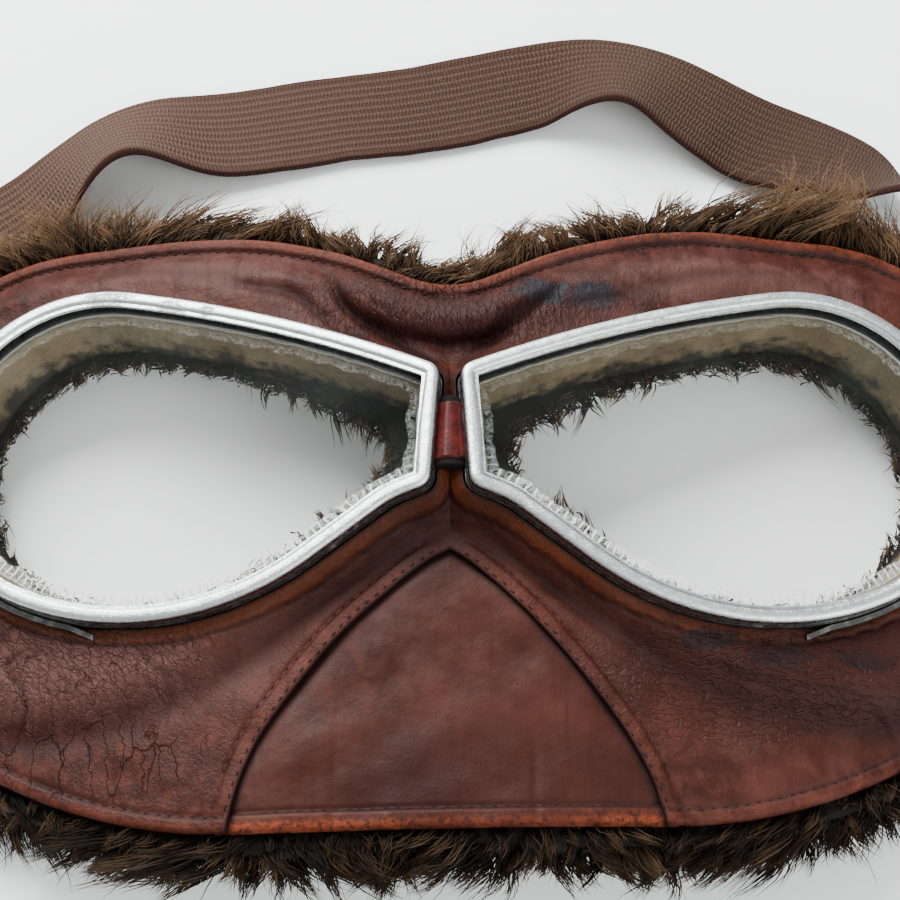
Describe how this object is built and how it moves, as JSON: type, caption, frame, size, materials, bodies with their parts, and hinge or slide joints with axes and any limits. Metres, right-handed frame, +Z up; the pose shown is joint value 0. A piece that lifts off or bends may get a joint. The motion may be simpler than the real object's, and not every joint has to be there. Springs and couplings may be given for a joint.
{
  "type": "flying goggles",
  "caption": "Fur-lined leather face-mask flying goggles with teardrop metal rims, folding at the bridge, on an elastic strap with a slider.",
  "frame": {"origin": "on the resting surface, under the middle of the bounding box; x = 0 is the nose line", "axes": "+X towards the right-hand temple as seen from above, +Y towards the brow and strap, +Z up, out of the lenses"},
  "size_m": [0.3211, 0.1672, 0.0386],
  "materials": {
    "leather_brown": "worn reddish-brown, creased",
    "leather_red": "glossy dark red",
    "fur": "curly brown sheepskin pile",
    "chamois": "tan suede",
    "rim_metal": "bright, scuffed plating",
    "lens_glass": "clear, faintly milky and scratched",
    "gasket_rubber": "matte black",
    "webbing": "ribbed woven elastic"
  },
  "bodies": {
    "left_side": {"face_leather_left": "leather_brown", "fur_lining_left": "fur", "eyecup_left": "chamois", "front_rim_left": "rim_metal", "rear_rim_left": "rim_metal", "lens_left": "lens_glass", "lens_gasket_left": "gasket_rubber", "rim_band_left": "rim_metal", "rim_screw_left": "rim_metal", "temple_tab_left": "leather_brown", "tab_rivets_left": "rim_metal", "strap_ring_left": "rim_metal", "brow_leather": "leather_brown", "nose_patch": "leather_brown", "fur_lining_centre": "fur", "bridge_strap": "leather_red", "strap_left": "webbing", "strap_middle": "webbing"},
    "right_side": {"face_leather_right": "leather_brown", "fur_lining_right": "fur", "eyecup_right": "chamois", "front_rim_right": "rim_metal", "rear_rim_right": "rim_metal", "lens_right": "lens_glass", "lens_gasket_right": "gasket_rubber", "rim_band_right": "rim_metal", "rim_screw_right": "rim_metal", "temple_tab_right": "leather_brown", "tab_rivets_right": "rim_metal", "strap_ring_right": "rim_metal", "strap_right": "webbing"},
    "slider": {"strap_slider": "rim_metal"}
  },
  "joints": [
    {"name": "nose_fold", "type": "hinge", "parent": "left_side", "child": "right_side", "pos_m": [0, -0.00944, 0.0352], "axis": [0, 1, 0], "range_deg": [-8, 26], "deforming": ["brow_leather", "nose_patch", "fur_lining_centre", "bridge_strap", "strap_middle"]},
    {"name": "strap_adjust", "type": "slide", "parent": "right_side", "child": "slider", "axis": [-0.8931, 0.4498, 0], "range_m": [-0.018, 0.018]}
  ]
}
